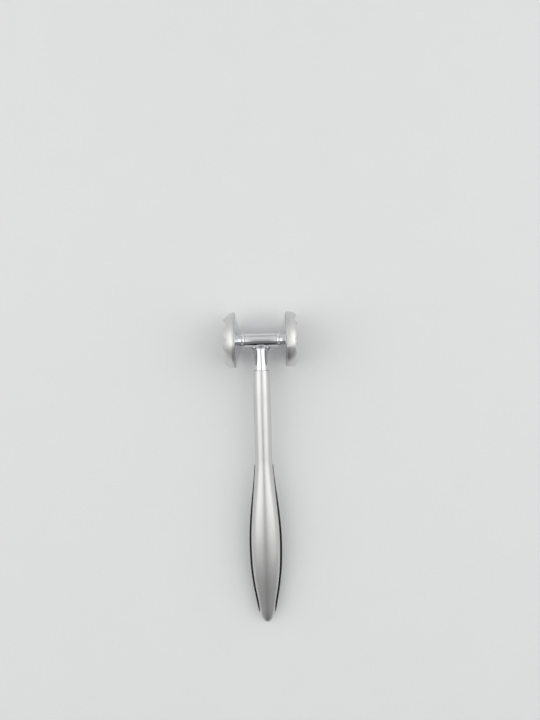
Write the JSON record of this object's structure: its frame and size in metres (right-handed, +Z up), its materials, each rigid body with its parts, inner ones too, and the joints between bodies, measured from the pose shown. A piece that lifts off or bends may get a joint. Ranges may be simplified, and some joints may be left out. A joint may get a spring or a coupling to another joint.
{
  "type": "meat mallet",
  "caption": "Rigid T-shaped meat mallet: toothed discs, coarse and fine, on a chromed tee, with a satin cast handle and black soft side inlays.",
  "frame": {"origin": "on the surface the mallet lies on, under the middle of its bounding box", "axes": "+X along the head from the coarse face to the fine one, +Y from the tail of the handle towards the head, +Z up, out of the mallet's front; the handle drops 4.11 degrees towards its tail, as it rests"},
  "size_m": [0.0564, 0.244, 0.0436],
  "materials": {
    "satin_casting": null,
    "polished_chrome": "mirror-polished chrome plate on a zinc alloy casting",
    "plain_steel": "plain machined steel",
    "black_soft_grip": "matt black soft elastomer"
  },
  "bodies": {
    "root": {"coarse_face_disc": "satin_casting", "fine_face_disc": "satin_casting", "coarse_side_flare": "polished_chrome", "fine_side_flare": "polished_chrome", "head_tee": "polished_chrome", "tie_rod": "plain_steel", "coarse_side_lock_washer": "plain_steel", "fine_side_lock_washer": "plain_steel", "neck_cross_pin": "plain_steel", "handle_casting": "satin_casting", "left_grip_inlay": "black_soft_grip", "right_grip_inlay": "black_soft_grip"}
  },
  "joints": []
}
